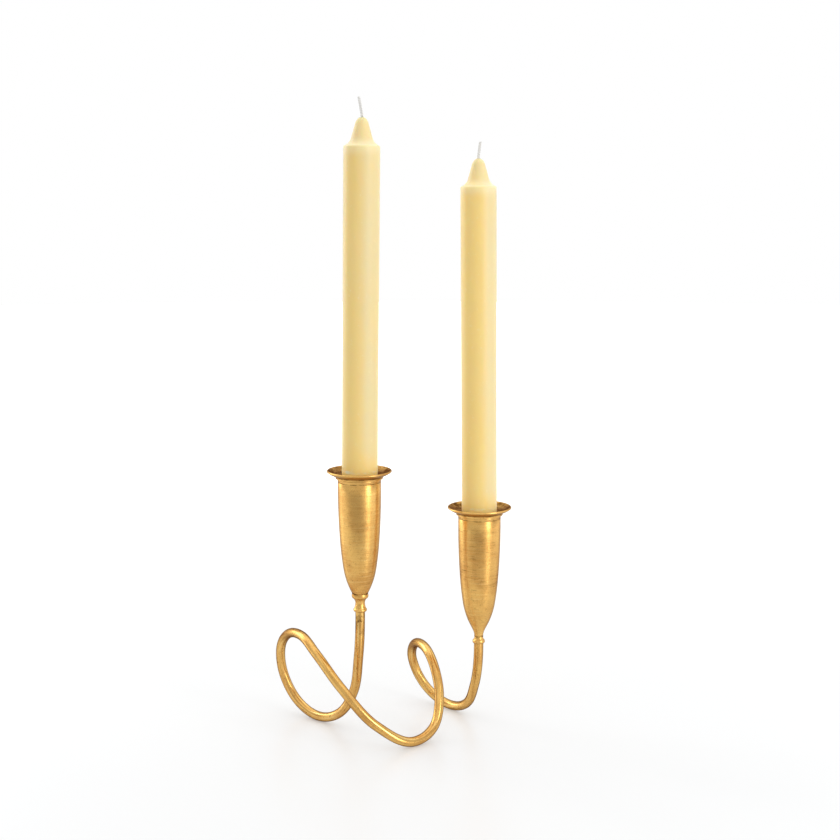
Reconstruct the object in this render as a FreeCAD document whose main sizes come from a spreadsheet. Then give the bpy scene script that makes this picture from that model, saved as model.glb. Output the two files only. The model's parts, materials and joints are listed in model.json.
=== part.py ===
"""Spiral candle holder: one bent rod that stands on three points and carries two tulip cups.

Origin on the floor, midway between the two cups. +Z is up, +X runs from the left cup to the right one
and +Y points to the back. The rod makes a left curl and a right curl between its two upright stems.
"""
import FreeCAD, Part
import math
import os
import Sketcher

Vector = FreeCAD.Vector

# Driving sizes in millimetres
SIZES = (
    # the rod and the places that its route is measured by
    ("rod_diameter", 6.0),
    ("half_stem_spacing", 37.5),
    ("half_stem_stagger", 8.4),
    ("curl_half_depth", 45.0),
    ("curl_rise", 58.0),
    ("left_stem_top", 79.55),
    ("right_stem_top", 54.0),
    # the threaded end of each stem
    ("stud_diameter", 4.0),
    ("stud_beyond_nut", 1.2),
    ("stud_hole_gap", 0.1),
    ("nut_bore_gap", 0.05),
    # the left collar, a small spool with two beads
    ("left_collar_height", 11.75),
    ("spool_foot_radius", 4.25),
    ("spool_foot_height", 1.9),
    ("spool_waist_radius", 3.0),
    ("spool_waist_height", 5.8),
    ("spool_flare_radius", 7.5),
    ("spool_head_radius", 5.25),
    ("spool_head_height", 3.2),
    ("spool_neck_radius", 4.3),
    ("spool_groove", 0.35),
    # the right collar, a single ring under a short neck
    ("right_collar_height", 4.4),
    ("ring_radius", 3.95),
    ("ring_height", 2.6),
    ("ring_neck_radius", 2.85),
    # the candle's fit in the sockets
    ("candle_diameter", 22.2),
    ("socket_gap", 0.35),
    ("seat_ledge", 1.5),
    # the drip pan's spigot, which the cup's mouth is bored for
    ("spigot_wall", 0.65),
    ("spigot_length", 5.6),
    ("spigot_gap", 0.1),
    ("spigot_floor_gap", 0.3),
    # the cup from its mouth down to the seat and to the floor of the well below it
    ("cup_mouth_wall", 1.2),
    ("cup_bead_height", 1.2),
    ("cup_line_depth", 2.1),
    ("cup_line_width", 0.5),
    ("cup_line_cut", 0.15),
    ("cup_side_radius", 490.0),
    ("seat_depth", 34.45),
    ("cup_shoulder_drop", 4.8),
    ("cup_shoulder_wall", 0.8),
    ("well_depth", 12.8),
    ("well_taper_height", 16.0),
    ("cup_belly_wall", 0.65),
    ("belly_above_floor", 6.0),
    # the cup below the well's floor: a foot on the left, a throat and a neck on the right
    ("left_cup_foot", 9.9),
    ("left_cup_foot_step", 0.3),
    ("throat_drop", 10.2),
    ("throat_swell", 1.85),
    ("neck_drop", 4.6),
    ("neck_land", 1.6),
    # nut and washer on the cup's floor
    ("nut_across_flats", 7.0),
    ("nut_height", 3.2),
    ("washer_margin", 1.0),
    ("washer_thickness", 0.8),
    ("washer_gap", 1.3),
    # the drip pan above its spigot
    ("pan_hub_overhang", 1.3),
    ("pan_hub_height", 1.6),
    ("pan_hub_groove", 0.5),
    ("pan_foot_step", 0.6),
    ("pan_dish_flare", 4.75),
    ("pan_dish_depth", 3.45),
    ("pan_flare_radius", 14.0),
    ("pan_sheet", 0.9),
    # the candles and their wicks
    ("left_candle_length", 253.0),
    ("right_candle_length", 255.6),
    ("left_candle_shift", 3.05),
    ("right_candle_shift", -2.05),
    ("candle_pivot_height", 18.0),
    ("candle_seat_gap", 0.05),
    ("candle_foot_round", 0.8),
    ("shoulder_round", 1.0),
    ("tip_base_radius", 6.35),
    ("tip_base_rise", 5.7),
    ("tip_base_curve", 7.0),
    ("tip_neck_radius", 4.0),
    ("tip_taper_rise", 8.4),
    ("tip_dome_rise", 3.5),
    ("wick_diameter", 1.8),
    ("wick_hole_gap", 0.05),
    ("wick_stand_height", 0.6),
    ("wick_bend_radius", 8.0),
    ("left_wick_reach", -2.0),
    ("left_wick_rise", 12.2),
    ("right_wick_reach", 1.2),
    ("right_wick_rise", 10.4),
)

# Route of the rod's centre line from the left stem's shoulder to the right stem's shoulder: x as a share
# of half_stem_spacing, y as a share of curl_half_depth, z above the floor contact as a share of curl_rise.
ROUTE_SHARES = (
    (-1.033, -0.186, 0.811),
    (-1.127, -0.117, 0.395),
    (-1.377, 0.050, 0.110),
    (-1.757, 0.316, 0.0),
    (-2.111, 0.559, 0.092),
    (-2.380, 0.696, 0.368),
    (-2.430, 0.614, 0.705),
    (-2.267, 0.339, 0.944),
    (-2.004, -0.024, 1.010),
    (-1.713, -0.418, 0.890),
    (-1.283, -0.762, 0.603),
    (-0.698, -0.901, 0.224),
    (-0.077, -0.683, 0.0),
    (0.215, -0.432, 0.074),
    (0.324, -0.141, 0.340),
    (0.262, 0.090, 0.581),
    (0.098, 0.433, 0.758),
    (-0.081, 0.800, 0.728),
    (-0.138, 1.091, 0.478),
    (0.107, 1.099, 0.139),
    (0.522, 0.807, 0.0),
    (0.799, 0.509, 0.092),
    (0.937, 0.268, 0.379),
)

SIDES = {"left": -1, "right": 1}

doc = FreeCAD.newDocument("spiral_candle_holder")
sheet = doc.addObject("Spreadsheet::Sheet", "Sizes")


class Size:
    """A length: its value in millimetres and the expression on the sheet's cells that drives it."""

    def __init__(self, value, text):
        self.value = value
        self.text = text

    def joined(self, other, sign, value):
        text = other.text if isinstance(other, Size) else repr(other)
        return Size(value, "(%s %s %s)" % (self.text, sign, text))

    def __add__(self, other):
        return self.joined(other, "+", self.value + number(other))

    def __sub__(self, other):
        return self.joined(other, "-", self.value - number(other))

    def __mul__(self, factor):
        return self.joined(factor, "*", self.value * number(factor))

    def __truediv__(self, factor):
        return self.joined(factor, "/", self.value / number(factor))


class Sizes:
    """The sheet's cells as attributes, each a Size."""


def number(value):
    return value.value if isinstance(value, Size) else float(value)


def filled_sheet():
    """Writes each driving size into a cell with its name as alias and returns them as attributes."""
    sizes = Sizes()
    for row, (name, value) in enumerate(SIZES, start=1):
        sheet.set("A%d" % row, name)
        sheet.set("B%d" % row, repr(value))
        sheet.setAlias("B%d" % row, name)
        setattr(sizes, name, Size(value, "Sizes." + name))
    doc.recompute()
    return sizes


mm = filled_sheet()


def of_side(side, name):
    return getattr(mm, side + "_" + name)


def put(thing, x, y, z):
    """Binds an object's place to the sheet; a plain zero stays as it is."""
    for axis, value in (("x", x), ("y", y), ("z", z)):
        if isinstance(value, Size):
            thing.setExpression("Placement.Base." + axis, value.text)


def origin_plane(body, role):
    return [plane for plane in body.Origin.OriginFeatures if plane.Role == role][0]


class Outline:
    """A closed sketch in a body's XZ plane, made of lines and arcs whose corners are bound to the sheet."""

    def __init__(self, body, name):
        self.sketch = body.newObject("Sketcher::SketchObject", name)
        self.sketch.AttachmentSupport = [(origin_plane(body, "XZ_Plane"), "")]
        self.sketch.MapMode = "FlatFace"
        self.corners = []
        self.pieces = []

    def start(self, x, z):
        self.corners.append((x, z))
        return self

    def line(self, x, z):
        self.corners.append((x, z))
        self.pieces.append(("line", None, 0))
        return self

    def arc(self, x, z, radius, turn):
        """Arc of a named radius; turn is 1 for a turn to the left and -1 for one to the right."""
        self.corners.append((x, z))
        self.pieces.append(("arc", radius, turn))
        return self

    def smooth(self, x, z):
        """Arc that leaves the piece before it without a corner."""
        self.corners.append((x, z))
        self.pieces.append(("smooth", None, 0))
        return self

    def closed(self):
        """Draws the outline, closed by a line, and constrains it."""
        self.pieces.append(("line", None, 0))
        points = [Vector(number(x), number(z), 0) for x, z in self.corners]
        ends = []
        heading = None
        for index, (kind, radius, turn) in enumerate(self.pieces):
            first, last = points[index], points[(index + 1) % len(points)]
            if kind == "line":
                edge = Part.LineSegment(first, last)
                heading = (last - first).normalize()
                forward = True
            else:
                chord = last - first
                across = Vector(-chord.y, chord.x, 0).normalize()
                if kind == "smooth":
                    left = Vector(-heading.y, heading.x, 0)
                    reach = chord.Length ** 2 / (2 * chord.dot(left))
                    centre = first + left * reach
                    turn = 1 if reach > 0 else -1
                    reach = abs(reach)
                else:
                    reach = number(radius)
                    rise = math.sqrt(reach ** 2 - chord.Length ** 2 / 4)
                    centre = first + chord / 2 + across * rise * turn
                begin, finish = (first, last) if turn > 0 else (last, first)
                edge = Part.ArcOfCircle(Part.Circle(centre, Vector(0, 0, 1), reach),
                                        angle_at(centre, begin), angle_at(centre, finish))
                spoke = last - centre
                heading = Vector(-spoke.y, spoke.x, 0).normalize() * turn
                forward = turn > 0
            ends.append((1, 2) if forward else (2, 1))
            self.sketch.addGeometry(edge, False)
        for index, (x, z) in enumerate(self.corners):
            self.pin(index, ends[index][0], x, z)
        for index, (kind, radius, turn) in enumerate(self.pieces):
            following = (index + 1) % len(self.pieces)
            joint = "Coincident"
            if self.pieces[following][0] == "smooth":
                joint = "Tangent"
            self.sketch.addConstraint(Sketcher.Constraint(joint, index, ends[index][1],
                                                          following, ends[following][0]))
            if kind == "arc":
                self.bind("Radius", radius, index)
        return self.sketch

    def bind(self, kind, value, *where):
        row = self.sketch.addConstraint(Sketcher.Constraint(kind, *where, number(value)))
        self.sketch.setExpression("Constraints[%d]" % row, value.text)

    def pin(self, index, end, x, z):
        """Fixes a corner's distance from the axis and its height."""
        if isinstance(x, Size):
            self.bind("DistanceX", x, -1, 1, index, end)
        else:
            self.sketch.addConstraint(Sketcher.Constraint("PointOnObject", index, end, -2))
        if isinstance(z, Size):
            self.bind("DistanceY", z, -1, 1, index, end)
        else:
            self.sketch.addConstraint(Sketcher.Constraint("PointOnObject", index, end, -1))


def angle_at(centre, point):
    return math.atan2(point.y - centre.y, point.x - centre.x)


def turned(name, draw):
    """A body turned from the outline that draw adds to it."""
    body = doc.addObject("PartDesign::Body", name)
    body.Label = name
    outline = Outline(body, name + "_outline")
    draw(outline)
    profile = outline.closed()
    turning = body.newObject("PartDesign::Revolution", name + "_turning")
    turning.Profile = profile
    turning.ReferenceAxis = (profile, ["V_Axis"])
    turning.Angle = 360
    return body


def column_place(side):
    """Where the axis of a stem's cup stands on the floor plan."""
    return mm.half_stem_spacing * SIDES[side], mm.half_stem_stagger * SIDES[side]


def cup_foot(side):
    """Height of the cup below the floor of its well."""
    if side == "left":
        return mm.left_cup_foot
    return mm.neck_land + mm.neck_drop + mm.throat_drop


def cup_length(side):
    return cup_foot(side) + mm.well_taper_height + mm.well_depth + mm.seat_depth


def cup_foot_height(side):
    return of_side(side, "stem_top") + of_side(side, "collar_height")


def cup_mouth_height(side):
    return cup_foot_height(side) + cup_length(side)


def floor_height(side):
    return cup_foot_height(side) + cup_foot(side)


def socket_radius():
    return mm.candle_diameter / 2 + mm.socket_gap


def well_radius():
    return mm.candle_diameter / 2 - mm.seat_ledge


def spigot_radius():
    return socket_radius() + mm.spigot_wall


def cup_mouth_radius():
    return spigot_radius() + mm.spigot_gap + mm.cup_mouth_wall


def washer_radius():
    return mm.nut_across_flats / 2 + mm.washer_margin


def biarc(start, start_way, end, end_way):
    """Two arcs that join start to end and leave and reach them in the given directions."""
    chord = end - start
    ways = start_way + end_way
    square = 2 * (1 - start_way.dot(end_way))
    linear = 2 * chord.dot(ways)
    reach = 2 * chord.dot(chord) / (linear + math.sqrt(linear ** 2 + 4 * square * chord.dot(chord)))
    first_corner = start + start_way * reach
    last_corner = end - end_way * reach
    middle = (first_corner + last_corner) / 2
    return [corner_arc(start, first_corner, middle), corner_arc(middle, last_corner, end)]


def corner_arc(start, corner, end):
    """The arc that is tangent to start-corner and corner-end, two runs of one length."""
    half_turn = (corner - start).getAngle(end - corner) / 2
    share = math.cos(half_turn) / (1 + math.cos(half_turn))
    middle = (start + end) / 2
    return Part.Arc(start, middle + (corner - middle) * share, end).toShape()


def circle_way(before, here, after):
    """Direction at here of the circle through three points."""
    arrival, leaving = here - before, after - here
    return (arrival / arrival.Length ** 2 + leaving / leaving.Length ** 2).normalize()


def route_points():
    """Centre line points of the rod, from one stem's shoulder to the other's."""
    low = number(mm.rod_diameter) / 2
    points = [Vector(x * number(mm.half_stem_spacing), y * number(mm.curl_half_depth),
                     low + z * number(mm.curl_rise)) for x, y, z in ROUTE_SHARES]
    stems = {}
    for side in SIDES:
        x, y = column_place(side)
        stems[side] = Vector(number(x), number(y), number(of_side(side, "stem_top")))
    return [stems["left"]] + points + [stems["right"]]


def spiral_rod():
    """The bent rod, a round section along arcs, with a stud standing on each stem's shoulder."""
    points = route_points()
    up = Vector(0, 0, 1)
    inner = zip(points, points[1:], points[2:])
    ways = [-up] + [circle_way(*three) for three in inner] + [up]
    edges = []
    for index in range(len(points) - 1):
        edges += biarc(points[index], ways[index], points[index + 1], ways[index + 1])
    route = Part.Wire(edges)
    radius = number(mm.rod_diameter) / 2
    section = Part.Wire(Part.makeCircle(radius, points[0], up))
    rod = route.makePipeShell([section], True, False)
    expected = math.pi * radius ** 2 * route.Length
    print("rod length %.1f, volume against section by length %.4f" % (route.Length, rod.Volume / expected))
    print("rod bends, radius:", " ".join("%.0f" % edge.Curve.Radius for edge in edges))
    for side, foot in (("left", points[0]), ("right", points[-1])):
        height = number(floor_height(side) - of_side(side, "stem_top") + mm.washer_thickness
                        + mm.nut_height + mm.stud_beyond_nut)
        rod = rod.fuse(Part.makeCylinder(number(mm.stud_diameter) / 2, height, foot, up))
    feature = doc.addObject("Part::Feature", "spiral_rod")
    feature.Label = "spiral_rod"
    feature.Shape = rod
    feature.Placement = FreeCAD.Placement()
    return feature


def stud_hole():
    return mm.stud_diameter / 2 + mm.stud_hole_gap


def draw_spool(outline):
    """Left collar: foot bead, flare up to the waist, flare up to the neck, and head bead."""
    head_low = mm.left_collar_height - mm.spool_head_height
    head_middle = mm.left_collar_height - mm.spool_head_height / 2
    outline.start(stud_hole(), 0)
    outline.line(mm.rod_diameter / 2 + mm.spool_groove, 0)
    outline.arc(mm.spool_foot_radius, mm.spool_foot_height / 2, mm.spool_foot_height * 0.7, 1)
    outline.smooth(mm.spool_foot_radius - mm.spool_groove, mm.spool_foot_height)
    outline.arc(mm.spool_waist_radius, mm.spool_waist_height, mm.spool_flare_radius, -1)
    outline.smooth(mm.spool_neck_radius, head_low)
    outline.arc(mm.spool_head_radius, head_middle, mm.spool_head_height * 0.6, 1)
    outline.smooth(mm.spool_head_radius - mm.spool_groove, mm.left_collar_height)
    outline.line(stud_hole(), mm.left_collar_height)


def draw_ring(outline):
    """Right collar: one ring, and a neck that meets the cup's own."""
    outline.start(stud_hole(), 0)
    outline.line(mm.rod_diameter / 2 + mm.spool_groove, 0)
    outline.arc(mm.ring_radius, mm.ring_height / 2, mm.ring_height * 0.6, 1)
    outline.smooth(mm.ring_neck_radius + mm.spool_groove, mm.ring_height)
    outline.line(mm.ring_neck_radius, mm.ring_height + mm.spool_groove)
    outline.line(mm.ring_neck_radius, mm.right_collar_height)
    outline.line(stud_hole(), mm.right_collar_height)


def draw_cup(outline, side):
    """Cup wall from the well's floor over the mouth and down the outside to the foot."""
    foot, length = cup_foot(side), cup_length(side)
    seat = length - mm.seat_depth
    bore = spigot_radius() + mm.spigot_gap
    bore_low = length - mm.spigot_length - mm.spigot_floor_gap
    rim = cup_mouth_radius()
    line = length - mm.cup_line_depth
    outline.start(stud_hole(), 0)
    outline.line(stud_hole(), foot)
    outline.line(washer_radius() + mm.washer_gap, foot)
    outline.line(well_radius(), foot + mm.well_taper_height)
    outline.line(well_radius(), seat)
    outline.line(socket_radius(), seat)
    outline.line(socket_radius(), bore_low)
    outline.line(bore, bore_low)
    outline.line(bore, length)
    outline.line(rim, length)
    outline.arc(rim, length - mm.cup_bead_height, mm.cup_bead_height * 0.7, -1)
    outline.line(rim, line)
    outline.line(rim - mm.cup_line_cut, line - mm.cup_line_width / 2)
    outline.line(rim, line - mm.cup_line_width)
    outline.arc(socket_radius() + mm.cup_shoulder_wall, seat - mm.cup_shoulder_drop, mm.cup_side_radius, -1)
    outline.smooth(well_radius() + mm.cup_belly_wall, foot + mm.belly_above_floor)
    if side == "left":
        outline.smooth(mm.spool_head_radius - mm.left_cup_foot_step, 0)
    else:
        outline.smooth(mm.ring_neck_radius + mm.throat_swell, mm.neck_land + mm.neck_drop)
        outline.smooth(mm.ring_neck_radius, mm.neck_land)
        outline.line(mm.ring_neck_radius, 0)


def draw_washer(outline):
    outline.start(stud_hole(), 0)
    outline.line(washer_radius(), 0)
    outline.line(washer_radius(), mm.washer_thickness)
    outline.line(stud_hole(), mm.washer_thickness)


def draw_pan(outline):
    """Drip pan: spigot, hub ring, flared dish with a rounded rim, and a hole for the candle."""
    hub_low = mm.spigot_length
    dish_low = hub_low + mm.pan_hub_height
    rim_top = dish_low + mm.pan_dish_depth
    hub = cup_mouth_radius() + mm.pan_hub_overhang
    dish_foot = hub + mm.pan_foot_step
    rim = dish_foot + mm.pan_dish_flare
    outline.start(socket_radius(), 0)
    outline.line(spigot_radius(), 0)
    outline.line(spigot_radius(), hub_low)
    outline.line(hub, hub_low)
    outline.line(hub, dish_low - mm.pan_hub_groove)
    outline.line(dish_foot, dish_low)
    outline.arc(rim, rim_top - mm.pan_sheet, mm.pan_flare_radius, 1)
    outline.arc(rim - mm.pan_sheet * 0.6, rim_top, mm.pan_sheet * 0.7, 1)
    outline.arc(dish_foot - mm.pan_sheet * 0.6, dish_low + mm.pan_sheet, mm.pan_flare_radius, -1)
    outline.line(socket_radius(), dish_low + mm.pan_sheet)


def draw_candle(outline, side):
    """Candle: straight side, rounded shoulder, drawn-in tip and the wick's hole along the axis."""
    radius = mm.candle_diameter / 2
    hole = mm.wick_diameter / 2 + mm.wick_hole_gap
    length = of_side(side, "candle_length")
    shoulder = length - mm.tip_dome_rise - mm.tip_taper_rise - mm.tip_base_rise
    outline.start(hole, 0)
    outline.line(radius - mm.candle_foot_round, 0)
    outline.arc(radius, mm.candle_foot_round, mm.candle_foot_round * 1.01, 1)
    outline.line(radius, shoulder)
    outline.arc(radius - mm.shoulder_round, shoulder + mm.shoulder_round, mm.shoulder_round * 1.05, 1)
    outline.arc(mm.tip_base_radius, shoulder + mm.tip_base_rise, mm.tip_base_curve, -1)
    outline.line(mm.tip_neck_radius, length - mm.tip_dome_rise)
    outline.smooth(hole, length)


def wick(side):
    """A round braid up the candle's hole that stands out straight and then leans over."""
    name = side + "_wick"
    body = doc.addObject("PartDesign::Body", name)
    body.Label = name
    section = body.newObject("Sketcher::SketchObject", name + "_section")
    section.AttachmentSupport = [(origin_plane(body, "XY_Plane"), "")]
    section.MapMode = "FlatFace"
    section.addGeometry(Part.Circle(Vector(), Vector(0, 0, 1), number(mm.wick_diameter) / 2), False)
    section.addConstraint(Sketcher.Constraint("Coincident", 0, 3, -1, 1))
    section.addConstraint(Sketcher.Constraint("Diameter", 0, number(mm.wick_diameter)))
    section.setExpression("Constraints[1]", mm.wick_diameter.text)
    spine = body.newObject("Sketcher::SketchObject", name + "_spine")
    spine.AttachmentSupport = [(origin_plane(body, "XZ_Plane"), "")]
    spine.MapMode = "FlatFace"
    stand = of_side(side, "candle_length") + mm.wick_stand_height
    reach = of_side(side, "wick_reach")
    rise = of_side(side, "wick_rise") - mm.wick_stand_height
    across, climb, bow = abs(number(reach)), number(rise), number(mm.wick_bend_radius)
    turn = math.atan2(climb, bow - across) - math.acos(bow / math.hypot(climb, bow - across))
    hand = math.copysign(1, number(reach))
    start = Vector(0, number(stand), 0)
    bend = Vector(bow * hand, number(stand), 0)
    leave = bend + Vector(-bow * math.cos(turn) * hand, bow * math.sin(turn), 0)
    tip = Vector(across * hand, number(stand) + climb, 0)
    ends = (angle_at(bend, start), angle_at(bend, leave))
    near, far = (2, 1) if hand > 0 else (1, 2)
    spine.addGeometry(Part.LineSegment(Vector(), start), False)
    spine.addGeometry(Part.ArcOfCircle(Part.Circle(bend, Vector(0, 0, 1), bow), *ends[::int(-hand)]), False)
    spine.addGeometry(Part.LineSegment(leave, tip), False)
    spine.addConstraint(Sketcher.Constraint("Coincident", 0, 1, -1, 1))
    spine.addConstraint(Sketcher.Constraint("PointOnObject", 0, 2, -2))
    spine.addConstraint(Sketcher.Constraint("Tangent", 0, 2, 1, near))
    spine.addConstraint(Sketcher.Constraint("Tangent", 1, far, 2, 1))
    row = spine.addConstraint(Sketcher.Constraint("Radius", 1, bow))
    spine.setExpression("Constraints[%d]" % row, mm.wick_bend_radius.text)
    held = (("DistanceY", stand, 0), ("DistanceX", reach, 2), ("DistanceY", stand + rise, 2))
    for kind, value, line in held:
        row = spine.addConstraint(Sketcher.Constraint(kind, -1, 1, line, 2, number(value)))
        spine.setExpression("Constraints[%d]" % row, value.text)
    pipe = body.newObject("PartDesign::AdditivePipe", name + "_braid")
    pipe.Profile = section
    pipe.Spine = (spine, ["Edge1", "Edge2", "Edge3"])
    return body


def nut(side):
    """Hex nut with a plain bore of the thread's size."""
    name = side + "_cup_nut"
    prism = doc.addObject("Part::Prism", name + "_hexagon")
    prism.Polygon = 6
    corner = mm.nut_across_flats / (2 * math.cos(math.pi / prism.Polygon))
    prism.setExpression("Circumradius", corner.text)
    prism.setExpression("Height", mm.nut_height.text)
    bore = doc.addObject("Part::Cylinder", name + "_bore")
    bore.setExpression("Radius", (mm.stud_diameter / 2 + mm.nut_bore_gap).text)
    bore.setExpression("Height", mm.nut_height.text)
    cut = doc.addObject("Part::Cut", name)
    cut.Label = name
    cut.Base = prism
    cut.Tool = bore
    return cut


def lean_candle(thing, side):
    """Stands a candle or its wick on the seat, leaning by the candle's shift over its length."""
    x, y = column_place(side)
    shift = of_side(side, "candle_shift")
    length = of_side(side, "candle_length")
    angle = math.degrees(math.atan2(number(shift), number(length)))
    sideways = shift * mm.candle_pivot_height / length
    edge_lift = mm.candle_diameter / 2 * shift / length * math.copysign(1, number(shift))
    seat = cup_mouth_height(side) - mm.seat_depth
    thing.Placement = FreeCAD.Placement(Vector(), FreeCAD.Rotation(Vector(0, 1, 0), angle))
    put(thing, x - sideways, y, seat + edge_lift + mm.candle_seat_gap)


def side_pieces(side):
    """Everything that stands on one stem's shoulder."""
    x, y = column_place(side)
    collar = turned(side + "_neck_collar", draw_spool if side == "left" else draw_ring)
    put(collar, x, y, of_side(side, "stem_top"))
    cup = turned(side + "_candle_cup", lambda outline: draw_cup(outline, side))
    put(cup, x, y, cup_foot_height(side))
    washer = turned(side + "_cup_washer", draw_washer)
    put(washer, x, y, floor_height(side))
    hexagon = nut(side)
    put(hexagon, x, y, floor_height(side) + mm.washer_thickness)
    pan = turned(side + "_drip_pan", draw_pan)
    put(pan, x, y, cup_mouth_height(side) - mm.spigot_length)
    candle = turned(side + "_candle", lambda outline: draw_candle(outline, side))
    lean_candle(candle, side)
    braid = wick(side)
    lean_candle(braid, side)
    return [collar, cup, washer, hexagon, pan, candle, braid]


def checked(pieces):
    """Recomputes the document and stops if anything in it failed."""
    doc.recompute()
    for thing in doc.Objects:
        if "Invalid" in thing.State or "Error" in thing.State:
            raise RuntimeError("%s failed: %s" % (thing.Label, thing.State))
    for piece in pieces:
        if piece.Shape.isNull() or not piece.Shape.isValid():
            raise RuntimeError("%s has no valid shape" % piece.Label)
        box = piece.Shape.BoundBox
        print("%-18s solids %d volume %9.1f  z %7.2f to %7.2f"
              % (piece.Label, len(piece.Shape.Solids), piece.Shape.Volume, box.ZMin, box.ZMax))


def written(pieces):
    os.makedirs("parts", exist_ok=True)
    for piece in pieces:
        piece.Shape.exportStep(os.path.join("parts", piece.Label + ".step"))


parts = [spiral_rod()]
for side in SIDES:
    parts += side_pieces(side)
checked(parts)
written(parts)
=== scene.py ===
"""Spiral candle holder: bent gilt rod, turned collars, tulip cups, drip pans, candles and plaited wicks.

Metres, +Z up, +X from the left cup to the right one, +Y to the back, origin on the floor between the cups.
"""
import json
import math

import bmesh
import bpy
from bpy.props import FloatProperty, FloatVectorProperty, PointerProperty
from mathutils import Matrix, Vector


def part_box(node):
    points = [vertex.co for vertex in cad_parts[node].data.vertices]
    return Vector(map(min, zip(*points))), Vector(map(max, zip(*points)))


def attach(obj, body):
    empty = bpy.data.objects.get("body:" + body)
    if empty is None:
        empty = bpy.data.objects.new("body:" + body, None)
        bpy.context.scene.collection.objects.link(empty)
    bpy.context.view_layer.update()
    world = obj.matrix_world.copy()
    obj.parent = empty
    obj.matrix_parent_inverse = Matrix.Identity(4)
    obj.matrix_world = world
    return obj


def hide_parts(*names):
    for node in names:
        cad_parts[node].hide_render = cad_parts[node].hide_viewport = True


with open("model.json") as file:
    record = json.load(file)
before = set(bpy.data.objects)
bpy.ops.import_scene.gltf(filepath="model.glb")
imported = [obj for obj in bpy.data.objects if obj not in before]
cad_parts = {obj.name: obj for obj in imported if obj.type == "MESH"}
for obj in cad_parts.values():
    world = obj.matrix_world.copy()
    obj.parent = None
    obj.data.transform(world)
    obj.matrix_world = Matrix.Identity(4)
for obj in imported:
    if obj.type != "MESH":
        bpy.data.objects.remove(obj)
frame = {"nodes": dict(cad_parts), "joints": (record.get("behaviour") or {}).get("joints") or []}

bl_info = {
    "name": "Spiral Candle Holder",
    "version": (1, 0, 0),
    "blender": (4, 5, 0),
    "location": "View3D > Sidebar > Candle Holder",
    "description": "Models and finishes a two-cup spiral candle holder with its candles",
    "category": "Add Mesh",
}

MM = 0.001
UP = Vector((0, 0, 1))
SIDES = ("left", "right")

# Facets, and what counts as no turn, no gap and no tilt
SPIN_STEPS = 128
ARC_STEP = math.radians(5)
LEAST_ARC_STEPS = 6
ROD_ARC_STEPS = 14
ROD_ROUND_STEPS = 8
STRAND_ROUND_STEPS = 1
SMOOTH_ANGLE = math.radians(32)
BEVEL_ANGLE = math.radians(38)
LEAST_TURN = 0.01
MERGE_REACH = 0.002 * MM
LEVEL_NORMAL = 0.99

# Bow of small rounded edges, as a share of the height or radius that they round
BEAD_BOW = 0.7
RING_BOW = 0.6
CANDLE_FOOT_BOW = 1.01
CANDLE_SHOULDER_BOW = 1.05
# How far in the dish's rounded rim ends, as a share of its sheet
RIM_SHARE = 0.6

# Plait of a wick: strands, points in one round, and shares of the wick's thickness
STRANDS = 3
PLAIT_POINTS = 10
STRAND_SHARE = 0.46
PLAIT_DEPTH_SHARE = 0.6

# Sizes of the patterns, in cells to the metre
LEAF_CLOUD = 55.0
LEAF_SMUDGE = 230.0
LEAF_PORE = 700.0
LEAF_SPECKLE = 1500.0
WAX_CLOUD = 60.0
WAX_PAN_PATCH = 260.0
WAX_MOTTLE = 420.0
COTTON_FIBRE = 5200.0
STEEL_STAIN = 380.0
PAPER_FIBRE = 700.0
SCRATCH_STRETCH = (130.0, 130.0, 2600.0)
TURNED_STRETCH = (45.0, 45.0, 2400.0)
BRUSHED_STRETCH = (300.0, 2600.0, 300.0)
ROD_LINES_ROUND = 3.5
ROD_LINES_ALONG = 22.0

# Depths of the reliefs
LEAF_RELIEF = 0.025 * MM
WAX_RELIEF = 0.15 * MM
COTTON_RELIEF = 0.08 * MM
STEEL_RELIEF = 0.04 * MM

# Gilt finish: glancing tint, crevices darkened with patina and painted shade, the left stem's worn patch and
# the edge of the painted shade inside a dish
LEAF_TINT = (0.62, 0.42, 0.22, 1)
CREVICE_REACH = 0.5 * MM
HEAD_CREVICE_REACH = 0.6 * MM
CUP_FOOT_CREVICE_REACH = 1.2 * MM
WORN_DROP = 6 * MM
WORN_REACH = 11 * MM
DISH_EDGE = (1.1 * MM, 0.2 * MM)

# Wax: how far light spreads in it, the side with painted shade, how far the painted pan reflection at the
# foot, the painted highlight at the shoulder and the pale patches along the pan reach, and the scuff on the
# left candle's foot
WAX_SPREAD = (5 * MM, 3.5 * MM, 1.8 * MM)
SHADED_SIDE = (-0.50, -0.87, 0.0)
PAN_REFLECTION_REACH = 16 * MM
SHOULDER_HIGHLIGHT_REACH = 7 * MM
PAN_PATCH_REACH = 1.2 * MM
SCUFF_SIDE = (-0.62, -0.78, 0.0)
SCUFF_STRETCH = 2.2
SCUFF_EDGE = (1.8 * MM, 2.6 * MM)

# How much darker the shaded threads and the stains are
COTTON_SHADE = 0.92
STEEL_SHADE = 0.62

# Stage: the paper, the lamps as place and size, and the room's light
PAPER_RADIUS = 4.0
PAPER_CORNERS = 96
PAPER_LIFT = 0.31
PAPER_TINT = (0.98, 1.0, 1.01)
PAPER_FIBRE_GREY = (0.6, 0.6, 0.6)
LIGHT_AIM = Vector((0, 0, 0.15))
KEY_PLACE = Vector((1.0, -0.85, 0.50))
KEY_SIZE = (0.42, 1.0)
RIM_PLACE = Vector((-1.0, 0.55, 0.6))
RIM_SIZE = (0.5, 1.0)
ROOM_LEVEL = 0.735
BACK_LEVEL = 0.225
TOP_LEVEL = 0.50
BLACK = (0, 0, 0)
WHITE = (1, 1, 1)

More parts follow.
